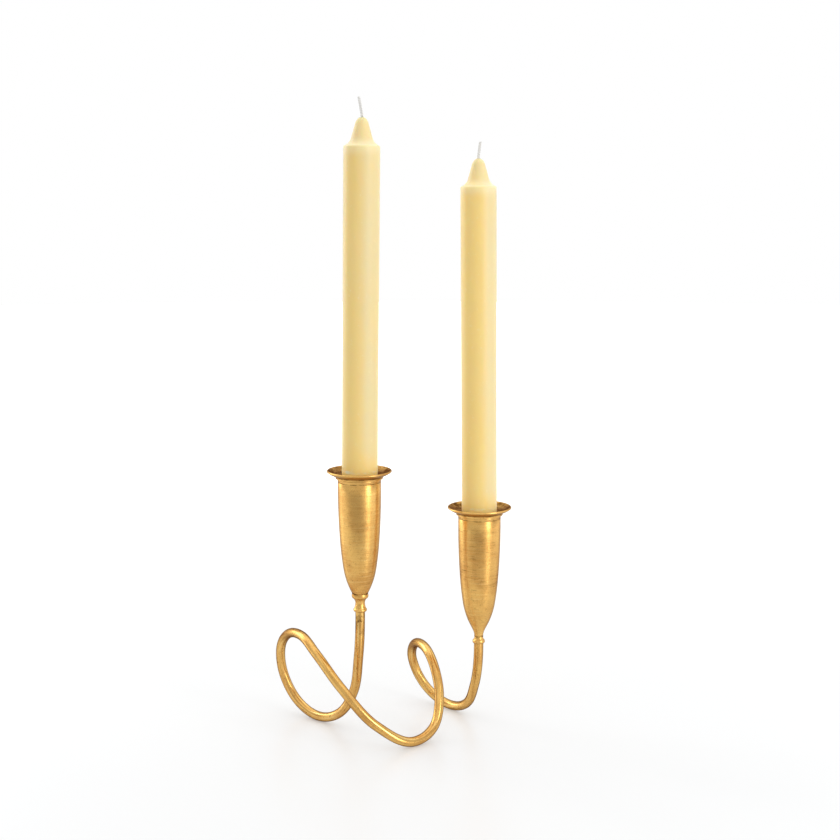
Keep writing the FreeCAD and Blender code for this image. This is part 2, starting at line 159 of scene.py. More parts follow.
# Route of the rod's centre line from the left stem's shoulder to the right stem's shoulder: x as a share
# of half the stem spacing, y as a share of the curls' half depth, z above the floor contact as a share of
# the curls' rise.
ROUTE_SHARES = (
    (-1.033, -0.186, 0.811),
    (-1.127, -0.117, 0.395),
    (-1.377, 0.050, 0.110),
    (-1.757, 0.316, 0.0),
    (-2.111, 0.559, 0.092),
    (-2.380, 0.696, 0.368),
    (-2.430, 0.614, 0.705),
    (-2.267, 0.339, 0.944),
    (-2.004, -0.024, 1.010),
    (-1.713, -0.418, 0.890),
    (-1.283, -0.762, 0.603),
    (-0.698, -0.901, 0.224),
    (-0.077, -0.683, 0.0),
    (0.215, -0.432, 0.074),
    (0.324, -0.141, 0.340),
    (0.262, 0.090, 0.581),
    (0.098, 0.433, 0.758),
    (-0.081, 0.800, 0.728),
    (-0.138, 1.091, 0.478),
    (0.107, 1.099, 0.139),
    (0.522, 0.807, 0.0),
    (0.799, 0.509, 0.092),
    (0.937, 0.268, 0.379),
)


def length(label, millimetres, description):
    return FloatProperty(name=label, description=description, default=millimetres * MM, unit="LENGTH")


def power(label, watts, description):
    return FloatProperty(name=label, description=description, default=watts, unit="POWER")


def colour(label, red, green, blue, description):
    """A colour given as it looks on a screen, kept as the linear one that a shader takes."""
    linear = [((value + 0.055) / 1.055) ** 2.4 for value in (red, green, blue)]
    return FloatVectorProperty(name=label, description=description, size=3, default=linear, subtype="COLOR",
                               min=0, max=1)


class HolderSizes(bpy.types.PropertyGroup):
    """Sizes of the gilt pieces."""

    rod_diameter: length("Rod diameter", 6.0, "Thickness of the bent rod")
    curl_half_depth: length("Curl half depth", 45.0, "Half the depth of the curls from front to back")
    curl_rise: length("Curl rise", 58.0, "Height of the left curl's centre line above its floor contact")
    stud_diameter: length("Stud diameter", 4.0, "Thickness of the stud on each stem")
    stud_gap: length("Stud gap", 0.1, "Clearance round a stud")
    stud_beyond_nut: length("Stud beyond nut", 1.2, "What stands out of the nut")
    groove: length("Groove", 0.35, "Depth of the fine grooves beside the collars' beads")
    spool_foot_radius: length("Spool foot radius", 4.25, "Bead at the foot of the left collar")
    spool_foot_height: length("Spool foot height", 1.9, "Height of that bead")
    spool_waist_radius: length("Spool waist radius", 3.0, "Narrowest place of the left collar")
    spool_waist_height: length("Spool waist height", 5.8, "Where the waist is above the collar's foot")
    spool_flare_radius: length("Spool flare", 7.5, "Radius of the hollow between foot and waist")
    spool_head_radius: length("Spool head radius", 5.25, "Bead at the head of the left collar")
    spool_head_height: length("Spool head height", 3.2, "Height of that bead")
    spool_neck_radius: length("Spool neck radius", 4.3, "Neck under the head bead")
    ring_radius: length("Ring radius", 3.95, "Ring of the right collar")
    ring_height: length("Ring height", 2.6, "Height of that ring")
    ring_neck_radius: length("Ring neck radius", 2.85, "Neck above the ring")
    spigot_wall: length("Spigot wall", 0.65, "Wall of the drip pan's spigot")
    spigot_gap: length("Spigot gap", 0.1, "Clearance round the spigot")
    spigot_length: length("Spigot length", 5.6, "How far the pan reaches into the cup")
    spigot_floor_gap: length("Spigot floor gap", 0.3, "Clearance below the spigot")
    mouth_wall: length("Mouth wall", 1.2, "Wall at the cup's mouth")
    bead_height: length("Bead height", 1.2, "Bead on the cup's mouth")
    line_depth: length("Line depth", 2.1, "Where the scored line is below the mouth")
    line_width: length("Line width", 0.5, "Width of the scored line")
    line_cut: length("Line cut", 0.15, "Depth of the scored line")
    side_radius: length("Side radius", 490.0, "Bow of the cup's upper side")
    seat_depth: length("Seat depth", 34.45, "Candle seat below the mouth")
    shoulder_drop: length("Shoulder drop", 4.8, "Where the cup's side turns in below the seat")
    shoulder_wall: length("Shoulder wall", 0.8, "Wall there, outside the socket's bore")
    well_taper: length("Well taper", 16.0, "Height of the well's tapering bottom")
    belly_wall: length("Belly wall", 0.65, "Wall at the belly, outside the well's bore")
    belly_height: length("Belly height", 6.0, "Where the belly is above the well's floor")
    foot_step: length("Foot step", 0.3, "How far the left cup's foot is inside the collar's head")
    throat_drop: length("Throat drop", 10.2, "Where the right cup's throat is below the well's floor")
    throat_swell: length("Throat swell", 1.85, "How much wider the throat is than the neck")
    neck_land: length("Neck land", 1.6, "Straight end of the right cup's neck")
    floor_margin: length("Floor margin", 1.3, "Floor of the well outside the washer")
    hub_overhang: length("Hub overhang", 1.3, "How far the pan's hub stands out over the mouth")
    hub_height: length("Hub height", 1.6, "Height of the hub")
    hub_groove: length("Hub groove", 0.5, "Height of the groove above the hub")
    dish_step: length("Dish step", 0.6, "How far the dish's foot stands out over the hub")
    dish_flare: length("Dish flare", 4.75, "Width of the dish outside its foot")
    flare_radius: length("Flare radius", 14.0, "Bow of the dish")
    sheet: length("Sheet", 0.9, "Thickness of the dish")
    edge_round: length("Edge round", 0.14, "Rounding of the gilt edges")


class CandleSizes(bpy.types.PropertyGroup):
    """Sizes of the candles and their wicks."""

    diameter: length("Candle diameter", 22.2, "Thickness of a candle")
    socket_gap: length("Socket gap", 0.35, "Clearance round a candle in its socket")
    seat_ledge: length("Seat ledge", 1.5, "Width of the ledge that a candle stands on")
    foot_round: length("Foot round", 0.8, "Rounding of the candle's foot")
    shoulder_round: length("Shoulder round", 1.0, "Rounding of the candle's shoulder")
    tip_base_radius: length("Tip base radius", 6.35, "Where the tip's hollow ends")
    tip_base_rise: length("Tip base rise", 5.7, "Height of that place above the shoulder")
    tip_curve: length("Tip curve", 7.0, "Bow of the hollow")
    tip_neck_radius: length("Tip neck radius", 4.0, "Where the dome starts")
    taper_rise: length("Taper rise", 8.4, "Height of the straight taper")
    dome_rise: length("Dome rise", 3.5, "Height of the dome")
    wick_diameter: length("Wick diameter", 1.8, "Thickness of a wick")
    wick_gap: length("Wick gap", 0.05, "Clearance round a wick")
    wick_stand: length("Wick stand", 0.6, "Straight part of the wick above the wax")
    wick_bend: length("Wick bend", 8.0, "Bow of the short bend above the straight part")
    left_wick_reach: length("Left wick reach", -2.0, "How far the left wick bends over to the right")
    left_wick_rise: length("Left wick rise", 12.2, "Height of the left wick above the wax")
    right_wick_reach: length("Right wick reach", 1.2, "How far the right wick bends over to the right")
    right_wick_rise: length("Right wick rise", 10.4, "Height of the right wick above the wax")
    plait_pitch: length("Plait pitch", 4.4, "Length of one round of the wick's plait")


class FinishColours(bpy.types.PropertyGroup):
    """Colours of the finishes, as they look on a screen."""

    gold: colour("Gold", 0.91, 0.715, 0.37, "Gold leaf where it is whole")
    pale_gold: colour("Pale gold", 0.975, 0.85, 0.555, "Gold leaf where it is rubbed bright")
    deep_gold: colour("Deep gold", 0.75, 0.50, 0.18, "Gold leaf where it is thin")
    patina: colour("Patina", 0.40, 0.26, 0.09, "Brown patina in hollows and smudges")
    wax: colour("Wax", 0.92, 0.855, 0.655, "Ivory wax")
    # Deeper wax, also used for the painted shade on one side and the painted reflection of the pan
    warm_wax_and_painted_light: colour("Warm wax", 0.99, 0.86, 0.55, "Deeper wax")
    # Pale wax for mottling and scuffs, also used for the painted highlight and sheen
    bloom_and_sheen: colour("Bloom", 0.985, 0.935, 0.79, "Scuffed wax")
    cotton: colour("Cotton", 0.93, 0.925, 0.91, "Wick cotton")
    steel: colour("Steel", 0.78, 0.77, 0.75, "Plated steel")
    floor: colour("Floor", 0.73, 0.73, 0.73, "Paper that the holder stands on")


class StudioSettings(bpy.types.PropertyGroup):
    """Camera and light."""

    camera_distance: length("Camera distance", 896.7, "Camera in front of the holder's origin")
    camera_height: length("Camera height", 333.9, "Camera above the floor")
    camera_side: length("Camera side", -0.05, "Camera to the right of the holder's origin")
    camera_pitch: FloatProperty(name="Camera pitch", description="How far the camera looks down",
                                default=math.radians(8.53), unit="ROTATION")
    camera_lens: FloatProperty(name="Camera lens", description="Focal length in millimetres", default=62.7)
    key_power: power("Key power", 6.4, "Power of the key light")
    rim_power: power("Rim power", 4.0, "Power of the rim light")


GROUPS = {
    "holder_sizes": HolderSizes,
    "candle_sizes": CandleSizes,
    "finish_colours": FinishColours,
    "studio_settings": StudioSettings,
}


def group(name):
    return getattr(bpy.context.scene, name)


# Shader nodes


class Wire:
    """An output of a node, joined to numbers and to other outputs by Python's operators."""

    def __init__(self, shader, socket):
        self.shader = shader
        self.socket = socket

    def joined(self, operation, *terms):
        """Result of a Math node on the given terms."""
        return self.shader.node("ShaderNodeMath", {"operation": operation}, dict(enumerate(terms)))

    def __add__(self, other):
        return self.joined("ADD", self, other)

    def __sub__(self, other):
        return self.joined("SUBTRACT", self, other)

    def __rsub__(self, other):
        return self.joined("SUBTRACT", other, self)

    def __mul__(self, other):
        return self.joined("MULTIPLY", self, other)

    __radd__ = __add__
    __rmul__ = __mul__

    def step(self, low, high):
        """Smooth step: 0 where the value is below low, 1 where it is above high."""
        return self.shader.node("ShaderNodeMapRange", {"interpolation_type": "SMOOTHSTEP"},
                                {"Value": self, "From Min": low, "From Max": high})

    def near(self, place, reach):
        """1 at a place, falling to 0 at the given reach on both sides of it."""
        away = self.joined("ABSOLUTE", self - place)
        return 1 - away.step(0.0, reach)


class Shader:
    """A node tree that is emptied and filled by its methods."""

    def __init__(self, tree):
        self.tree = tree
        tree.nodes.clear()

    def node(self, kind, settings=None, inputs=None, output=None):
        """Adds a node and returns its first output that is in use, or the named one."""
        made = self.tree.nodes.new(kind)
        for name, value in (settings or {}).items():
            setattr(made, name, value)
        for name, value in (inputs or {}).items():
            socket = self.socket_of(made.inputs, name)
            if isinstance(value, Wire):
                self.tree.links.new(value.socket, socket)
            else:
                socket.default_value = value
        if not made.outputs:
            return None
        return Wire(self, self.socket_of(made.outputs, output))

    def socket_of(self, sockets, name):
        """The socket of a number or name, or the first one in use where there is no name."""
        if isinstance(name, int):
            return sockets[name]
        return [socket for socket in sockets if socket.enabled and name in (None, socket.name)][0]

    def mixed(self, share, first, second):
        """Colour between two colours or wires."""
        first, second = [shade if isinstance(shade, Wire) else (*shade, 1.0) for shade in (first, second)]
        return self.node("ShaderNodeMix", {"data_type": "RGBA"}, {"Factor": share, "A": first, "B": second})

    def place(self, stretch=(1, 1, 1), shift=(0, 0, 0)):
        """Object coordinates, stretched and shifted."""
        here = self.node("ShaderNodeTexCoord", output="Object")
        return self.node("ShaderNodeMapping", None, {"Vector": here, "Scale": stretch, "Location": shift})

    def part(self, vector, axis):
        """One coordinate of a vector."""
        return self.node("ShaderNodeSeparateXYZ", None, {"Vector": vector}, axis)

    def height(self):
        """Height above the floor."""
        return self.part(self.place(), "Z")

    def reach(self, vector):
        """Length of a vector."""
        return self.node("ShaderNodeVectorMath", {"operation": "LENGTH"}, {0: vector}, "Value")

    def turned_away(self):
        """0 where the surface faces the eye, 1 where it is seen edge on."""
        return self.node("ShaderNodeLayerWeight", None, {"Blend": 0.5}, "Facing")

    def ray(self, kind):
        """1 for the light rays of a kind, 0 for the others."""
        return self.node("ShaderNodeLightPath", output="Is %s Ray" % kind)

    def clamped(self, value):
        """A value kept between 0 and 1."""
        return self.node("ShaderNodeClamp", None, {"Value": value})

    def noise(self, where, scale, detail=3.0, rough=0.55):
        return self.node("ShaderNodeTexNoise", None,
                         {"Vector": where, "Scale": scale, "Detail": detail, "Roughness": rough})

    def bump(self, height, distance, strength):
        return self.node("ShaderNodeBump", None,
                         {"Height": height, "Distance": distance, "Strength": strength})

    def surface(self, **inputs):
        """Ends the tree in a Principled shader with the given inputs."""
        named = {name.replace("_", " "): value for name, value in inputs.items()}
        shader = self.node("ShaderNodeBsdfPrincipled", None, named)
        self.node("ShaderNodeOutputMaterial", None, {"Surface": shader})


def new_material(name):
    material = bpy.data.materials.new(name)
    material.use_nodes = True
    return material, Shader(material.node_tree)


def turned_grain(shader):
    """Coordinates of the fine lines round a turned piece."""
    return shader.place(TURNED_STRETCH)


def rod_grain(shader):
    """Coordinates of the fine lines along the rod: the turn about its axis as a circle, then the length."""
    uv = shader.node("ShaderNodeUVMap", {"uv_map": "UVMap"})
    turn = shader.part(uv, "Y") * math.tau
    parts = {"X": turn.joined("COSINE", turn) * ROD_LINES_ROUND,
             "Y": turn.joined("SINE", turn) * ROD_LINES_ROUND,
             "Z": shader.part(uv, "X") * ROD_LINES_ALONG}
    return shader.node("ShaderNodeCombineXYZ", None, parts)


def gilding(name, grain, smudges=0.5, scratches=0.0, streaks=0.0, polish=0.0, crevices=(), hollow=None,
            shade=(0.45, 0.95, 0.6)):
    """Antique gold leaf: satin gold, brown patina in smudges, a fine rubbed grain, and painted shade in
    crevices, inside a dish and toward the edges.

    grain gives the coordinates of the rubbed lines, streaks how much darker and paler they get in places,
    and polish what is taken off the roughness; crevices are (height, reach) of bands darkened with blotchy
    patina, which is painted shade in turned crevices and real wear on the left stem; hollow is the (axis
    point, radius) of a dish whose upward-facing inside gets painted shade; shade is painted shade that
    darkens the leaf toward patina brown as it turns away from the eye: where it starts, where it is darkest,
    and how dark it gets.
    """
    shades = group("finish_colours")
    material, shader = new_material(name)
    cloud = shader.noise(shader.place(), LEAF_CLOUD)
    speckle = shader.noise(shader.place(shift=(0.3, 0.1, 0.2)), LEAF_SPECKLE, rough=0.65)
    pores = shader.noise(shader.place(shift=(0.1, 0.8, 0.5)), LEAF_PORE, detail=4.0, rough=0.75)
    lines = shader.noise(grain(shader), 1.0, detail=2.0, rough=0.6)
    smudge = shader.noise(shader.place(shift=(0.7, 0.4, 0.9)), LEAF_SMUDGE, detail=5.0, rough=0.7)
    specks = speckle.step(0.54, 0.76) * 0.45 + pores.step(0.56, 0.72) * 0.55
    dark = smudge.step(0.58, 0.78) * (0.15 + 0.55 * smudges) + specks * (0.5 + 0.7 * smudges)
    # painted shade: the leaf darkens toward patina brown as it turns edge on to the eye
    start, full, edge_shade_depth = shade
    dark = dark + shader.turned_away().step(start, full) * edge_shade_depth
    if streaks:
        dark = dark + lines.step(0.46, 0.28) * streaks
    # patina and painted shade darken the turned crevices; the rod's worn patch comes in here too
    for place, reach in crevices:
        dark = dark + shader.height().near(place, reach) * (0.18 + 0.75 * smudge.step(0.42, 0.60))
    if scratches:
        scratch = shader.noise(shader.place(SCRATCH_STRETCH, (0.2, 0.5, 0.1)), 1.0, detail=2.0, rough=0.5)
        dark = dark + scratch.step(0.66, 0.76) * scratches
        dark = dark + scratch.step(0.48, 0.66) * cloud.step(0.50, 0.64) * scratches * 0.55
    # painted shade inside the dish on its upward faces, blotched like patina
    if hollow:
        axis, radius = hollow
        away = shader.reach(shader.place((1, 1, 0), (-axis.x, -axis.y, 0)))
        upward = shader.part(shader.node("ShaderNodeNewGeometry", output="Normal"), "Z")
        inside = (1 - away.step(radius - DISH_EDGE[0], radius - DISH_EDGE[1])) * upward.step(0.1, 0.45)
        dark = dark + inside * (0.34 + 0.50 * smudge.step(0.44, 0.60))
    dark = shader.clamped(dark)
    gold = shader.mixed(cloud.step(0.35, 0.70) * 0.55, shades.gold, shades.deep_gold)
    bright = lines.step(0.50, 0.75) * (0.35 + streaks)
    bright = bright + speckle.step(0.46, 0.22) * 0.25 + pores.step(0.44, 0.25) * 0.2
    gold = shader.mixed(shader.clamped(bright), gold, shades.pale_gold)
    gold = shader.mixed(lines.step(0.50, 0.25) * 0.45, gold, shades.deep_gold)
    gold = shader.mixed(dark, gold, shades.patina)
    relief = lines * 0.8 + speckle * 0.25 + smudge * 0.5
    rough = 0.23 - polish + speckle * 0.12 + dark * 0.20
    shader.surface(Base_Color=gold, Metallic=1.0 - dark * 0.15, Roughness=rough, Specular_Tint=LEAF_TINT,
                   Coat_Weight=0.75 - dark * 0.75, Coat_Roughness=0.30 - polish,
                   Normal=shader.bump(relief, LEAF_RELIEF, 0.9))
    return material


def wax_material(side, taper):
    """Ivory wax, cloudy and lit from within, with painted shade, sheen, highlight and pan reflection, pale
    patches at the pan and a scuff.
    """
    shades = group("finish_colours")
    sizes = group("candle_sizes")
    material, shader = new_material("ivory_wax_" + side)
    cloud = shader.noise(shader.place((1, 1, 0.25)), WAX_CLOUD)
    mottle = shader.noise(shader.place(shift=(0.2, 0.6, 0.3)), WAX_MOTTLE)
    pan_patch = shader.noise(shader.place((1, 1, 2.5), (0.5, 0.1, 0.7)), WAX_PAN_PATCH)
    foot, radius = taper.foot, sizes.diameter / 2
    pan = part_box(side + "_drip_pan")[1].z
    shoulder = foot.z + taper.length - sizes.dome_rise - sizes.taper_rise - sizes.tip_base_rise
    height = shader.height()
    # painted highlight: a pale band round the shoulder
    pale = mottle.step(0.58, 0.80) * 0.25 + height.near(shoulder, SHOULDER_HIGHLIGHT_REACH) * 0.45
    # painted sheen: paler toward the edges as seen
    pale = pale + shader.turned_away().step(0.55, 1.0) * 0.5
    # paler in patches just above the pan
    pale = pale + height.near(pan, PAN_PATCH_REACH) * pan_patch.step(0.42, 0.60) * 0.6
    if side == "left":
        spot = Vector((foot.x, foot.y, pan)) + Vector(SCUFF_SIDE).normalized() * radius
        away = shader.reach(shader.place((1, 1, SCUFF_STRETCH), (-spot.x, -spot.y, -SCUFF_STRETCH * spot.z)))
        pale = pale + (1 - away.step(*SCUFF_EDGE))
    # painted shade: the wax is deeper and warmer on the front-left side, where shade falls
    spoke = shader.place((1, 1, 0), (-foot.x, -foot.y, 0))
    sideways = shader.node("ShaderNodeVectorMath", {"operation": "DOT_PRODUCT"}, {0: spoke, 1: SHADED_SIDE},
                           "Value")
    warm = sideways.step(radius * 0.48, radius) * 0.9 + cloud.step(0.30, 0.72) * 0.25
    # painted reflection: the gilt pan's warm glow on the candle's foot
    warm = warm + height.near(pan, PAN_REFLECTION_REACH) * 0.7
    wax = shader.mixed(shader.clamped(warm), shades.wax, shades.warm_wax_and_painted_light)
    wax = shader.mixed(shader.clamped(pale), wax, shades.bloom_and_sheen)
    shader.surface(Base_Color=wax, Roughness=0.36 + mottle * 0.14, IOR=1.44, Subsurface_Weight=0.6,
                   Subsurface_Radius=WAX_SPREAD, Subsurface_Scale=1.0,
                   Normal=shader.bump(cloud * 2.0 + mottle * 0.3, WAX_RELIEF, 0.6))
    return material


def cotton_material():
    """Undyed cotton with fine fibres."""
    shades = group("finish_colours")
    material, shader = new_material("wick_cotton")
    fibres = shader.noise(shader.place((1, 1, 0.3)), COTTON_FIBRE, detail=2.0)
    darker = [value * COTTON_SHADE for value in shades.cotton]
    shader.surface(Base_Color=shader.mixed(fibres.step(0.35, 0.65), darker, shades.cotton), Roughness=0.85,
                   Sheen_Weight=0.25, Normal=shader.bump(fibres, COTTON_RELIEF, 0.7))
    return material


def steel_material():
    """Zinc-plated steel, brushed and a little stained."""
    shades = group("finish_colours")
    material, shader = new_material("plated_steel")
    stain = shader.noise(shader.place(), STEEL_STAIN, detail=4.0)
    brushed = shader.noise(shader.place(BRUSHED_STRETCH), 1.0, detail=2.0)
    darker = [value * STEEL_SHADE for value in shades.steel]
    shader.surface(Base_Color=shader.mixed(stain.step(0.42, 0.70), shades.steel, darker), Metallic=1.0,
                   Roughness=0.30 + stain * 0.2, Normal=shader.bump(brushed, STEEL_RELIEF, 0.6))
    return material


# Modelling helpers


def start_edit(name, point):
    """A new mesh object that holds a single vertex at a point, selected in edit mode."""
    bpy.ops.object.select_all(action="DESELECT")
    bpy.ops.mesh.primitive_plane_add(size=MM, location=(0, 0, 0))
    piece = bpy.context.object
    piece.name = piece.data.name = name
    bpy.ops.object.mode_set(mode="EDIT")
    bpy.ops.mesh.select_mode(type="VERT")
    bpy.ops.mesh.select_all(action="SELECT")
    bpy.ops.mesh.merge(type="CENTER")
    bpy.ops.transform.translate(value=point)
    return piece


def extrude_to(step):
    bpy.ops.mesh.extrude_region_move(TRANSFORM_OT_translate={"value": step})


def new_curve(name, thickness, round_steps):
    """An empty curve whose runs become round, closed rods."""
    curve = bpy.data.curves.new(name, "CURVE")
    curve.dimensions = "3D"
    curve.bevel_depth = thickness / 2
    curve.bevel_resolution = round_steps
    curve.use_fill_caps = True
    return curve


def mesh_from_curve(curve):
    """A mesh object made from a curve, with the curve's name, selected."""
    bpy.ops.object.select_all(action="DESELECT")
    piece = bpy.data.objects.new(curve.name, curve)
    bpy.context.scene.collection.objects.link(piece)
    bpy.context.view_layer.objects.active = piece
    piece.select_set(True)
    bpy.ops.object.convert(target="MESH")
    return piece


def finish_mesh(piece, material, edge_round=0.0):
    """Rounds a piece's hard edges, shades it smooth between them and gives it its material."""
    bpy.ops.object.mode_set(mode="OBJECT")
    if edge_round:
        bevel = piece.modifiers.new("edge_round", "BEVEL")
        bevel.width = edge_round
        bevel.segments = 2
        bevel.limit_method = "ANGLE"
        bevel.angle_limit = BEVEL_ANGLE
        bpy.ops.object.modifier_apply(modifier=bevel.name)
    bpy.ops.object.shade_smooth_by_angle(angle=SMOOTH_ANGLE)
    piece.data.materials.clear()
    piece.data.materials.append(material)


def hand_over(piece, body, node):
    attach(piece, body)
    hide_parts(node)


class Outline:
    """Outline of a turned piece: points of radius and height, whose arcs are drawn as short runs."""

    def __init__(self, radius, height):
        self.points = [Vector((radius, height))]
        self.heading = None

    def line(self, radius, height):
        end = Vector((radius, height))
        self.heading = (end - self.points[-1]).normalized()
        self.points.append(end)

    def arc(self, radius, height, bow, turn):
        """Arc of the given bow; turn is 1 for a turn to the left and -1 for one to the right."""
        start, end = self.points[-1], Vector((radius, height))
        chord = end - start
        across = Vector((-chord.y, chord.x)).normalized()
        rise = math.sqrt(bow ** 2 - chord.length_squared / 4)
        self.swing((start + end) / 2 + across * rise * turn, end, turn)

    def smooth(self, radius, height):
        """Arc that leaves the run before it without a corner."""
        start, end = self.points[-1], Vector((radius, height))
        chord = end - start
        left = Vector((-self.heading.y, self.heading.x))
        reach = chord.length_squared / (2 * chord.dot(left))
        self.swing(start + left * reach, end, math.copysign(1, reach))

    def swing(self, centre, end, turn):
        spoke = self.points[-1] - centre
        angle = abs(spoke.angle_signed(end - centre))
        steps = max(LEAST_ARC_STEPS, math.ceil(angle / ARC_STEP))
        start_angle = math.atan2(spoke.y, spoke.x)
        for index in range(1, steps + 1):
            bearing = start_angle + turn * angle * index / steps
            self.points.append(centre + Vector((math.cos(bearing), math.sin(bearing))) * spoke.length)
        self.points[-1] = end
        last = end - centre
        self.heading = Vector((-last.y, last.x)).normalized() * turn


def turned_piece(name, outline, foot, axis=UP):
    """Spins a closed outline about an axis through foot and leaves it selected in edit mode."""
    aside = Vector((axis.z, 0, -axis.x))
    points = [foot + aside * point.x + axis * point.y for point in outline.points]
    piece = start_edit(name, points[0])
    for before, after in zip(points, points[1:] + points[:1]):
        extrude_to(after - before)
    bpy.ops.mesh.select_all(action="SELECT")
    bpy.ops.mesh.remove_doubles(threshold=MERGE_REACH)
    bpy.ops.mesh.spin(steps=SPIN_STEPS, angle=math.tau, center=foot, axis=axis)
    bpy.ops.mesh.select_all(action="SELECT")
    bpy.ops.mesh.remove_doubles(threshold=MERGE_REACH)
    bpy.ops.mesh.normals_make_consistent(inside=False)
    return piece


def foot_of(node):
    """Middle of the underside of an upright turned node, in line with its side's collar."""
    low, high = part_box(node.split("_")[0] + "_neck_collar")
    return Vector(((low.x + high.x) / 2, (low.y + high.y) / 2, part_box(node)[0].z))


def height_of(node):
    low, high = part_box(node)
    return high.z - low.z


class Taper:
    """Where a side's leaning candle stands, and the line of its wick."""

    def __init__(self, side):
        sizes = group("candle_sizes")
        joint = [joint for joint in frame["joints"] if joint["name"] == side + "_candle_lift"][0]
        low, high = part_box(side + "_candle")
        self.axis = Vector(joint["axis"]).normalized()
        self.aside = Vector((self.axis.z, 0, -self.axis.x))
        radius = math.copysign(sizes.diameter / 2, self.axis.x)
        edge = low.x if radius > 0 else high.x
        self.foot = Vector((edge + radius * self.axis.z, (low.y + high.y) / 2, low.z + radius * self.axis.x))
        self.length = (high.z - self.foot.z) / self.axis.z
        self.stand = self.length + sizes.wick_stand
        reach = getattr(sizes, side + "_wick_reach")
        climb = getattr(sizes, side + "_wick_rise") - sizes.wick_stand
        self.bow = math.copysign(sizes.wick_bend, reach)
        over = sizes.wick_bend - abs(reach)
        self.lean = math.atan2(climb, over) - math.acos(sizes.wick_bend / math.hypot(climb, over))
        self.bent = self.stand + sizes.wick_bend * self.lean
        straight = (climb - sizes.wick_bend * math.sin(self.lean)) / math.cos(self.lean)
        self.wick_length = self.bent + straight

    def wick_point(self, distance):
        """Point of the wick's centre line at a distance from the candle's foot, and the way across it."""
        if distance <= self.stand:
            return self.foot + self.axis * distance, self.aside
        angle = (min(distance, self.bent) - self.stand) / self.bow
        spoke = self.aside * math.cos(angle) - self.axis * math.sin(angle)
        way = self.aside * math.sin(angle) + self.axis * math.cos(angle)
        bend = self.foot + self.axis * self.stand + self.aside * self.bow
        return bend - spoke * self.bow + way * max(distance - self.bent, 0), spoke


# Sizes that several pieces share


def stud_hole():
    sizes = group("holder_sizes")
    return sizes.stud_diameter / 2 + sizes.stud_gap


def socket_radius():
    sizes = group("candle_sizes")
    return sizes.diameter / 2 + sizes.socket_gap


def well_radius():
    sizes = group("candle_sizes")
    return sizes.diameter / 2 - sizes.seat_ledge


def spigot_radius():
    return socket_radius() + group("holder_sizes").spigot_wall


def mouth_radius():
    sizes = group("holder_sizes")
    return spigot_radius() + sizes.spigot_gap + sizes.mouth_wall


# The bent rod


def route_points():
    """Centre line points of the rod, from one stem's shoulder to the other's."""
    sizes = group("holder_sizes")
    left, right = [foot_of(side + "_neck_collar") for side in SIDES]
    low = sizes.rod_diameter / 2
    bends = [Vector((x * right.x, y * sizes.curl_half_depth, low + z * sizes.curl_rise))
             for x, y, z in ROUTE_SHARES]
    return [left] + bends + [right]


def circle_way(before, here, after):
    """Direction at here of the circle through three points."""
    arrival, leaving = here - before, after - here
    return (arrival / arrival.length_squared + leaving / leaving.length_squared).normalized()


def handle_length(start, start_way, end, end_way):
    """Length of a curve's handles that makes it nearly a round arc."""
    turn = max(start_way.angle(end_way), LEAST_TURN)
    return (end - start).length * 2 / 3 * math.tan(turn / 4) / math.sin(turn / 2)


def rod_curve(name):
    """The rod's centre line as a curve with a round section."""
    points = route_points()
    ways = [circle_way(*three) for three in zip(points, points[1:], points[2:])]
    ways = [-UP] + ways + [UP]
    curve = new_curve(name, group("holder_sizes").rod_diameter, ROD_ROUND_STEPS)
    curve.resolution_u = ROD_ARC_STEPS
    spline = curve.splines.new("BEZIER")
    spline.bezier_points.add(len(points) - 1)
    for knot, point, way in zip(spline.bezier_points, points, ways):
        knot.co = knot.handle_left = knot.handle_right = point
    for index in range(len(points) - 1):
        ends = points[index], ways[index], points[index + 1], ways[index + 1]
        reach = handle_length(*ends)
        spline.bezier_points[index].handle_right = points[index] + ways[index] * reach
        spline.bezier_points[index + 1].handle_left = points[index + 1] - ways[index + 1] * reach
    return curve


def select_faces(piece, wanted):
    """Selects the faces that a test on the face picks, in edit mode."""
    bpy.ops.mesh.select_mode(type="FACE")
    bpy.ops.mesh.select_all(action="DESELECT")
    mesh = bmesh.from_edit_mesh(piece.data)
    for face in mesh.faces:
        face.select_set(wanted(face))
    bmesh.update_edit_mesh(piece.data)


class CANDLEHOLDER_OT_spiral_rod(bpy.types.Operator):
    """Bends the rod along its route and turns a stud on each end"""

    bl_idname = "candle_holder.spiral_rod"
    bl_label = "Spiral rod"

    def execute(self, context):
        sizes = group("holder_sizes")
        piece = mesh_from_curve(rod_curve("gilt_spiral_rod"))
        bpy.ops.object.mode_set(mode="EDIT")
        bpy.ops.mesh.select_all(action="SELECT")
        bpy.ops.mesh.remove_doubles(threshold=MERGE_REACH)
        bpy.ops.mesh.normals_make_consistent(inside=False)
        tops = {"left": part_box("spiral_rod")[1].z,
                "right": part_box("right_cup_nut")[1].z + sizes.stud_beyond_nut}
        for side, top in tops.items():
            shoulder = foot_of(side + "_neck_collar")
            select_faces(piece, lambda face: face.normal.z > LEVEL_NORMAL
                         and (face.calc_center_median() - shoulder).length < sizes.rod_diameter / 2)
            bpy.ops.mesh.inset(thickness=(sizes.rod_diameter - sizes.stud_diameter) / 2, depth=0)
            extrude_to(UP * (top - shoulder.z))
        worn = [(foot_of("left_neck_collar").z - WORN_DROP, WORN_REACH)]
        # shade: painted shade that darkens the rod toward its edges as seen; worn is a real worn patch
        gilt = gilding("gilt_rod", rod_grain, smudges=0.9, streaks=0.4, polish=0.1, crevices=worn,
                       shade=(0.37, 0.86, 0.9))
        finish_mesh(piece, gilt)
        hand_over(piece, "holder", "spiral_rod")
        return {"FINISHED"}


# Collars, cups and pans


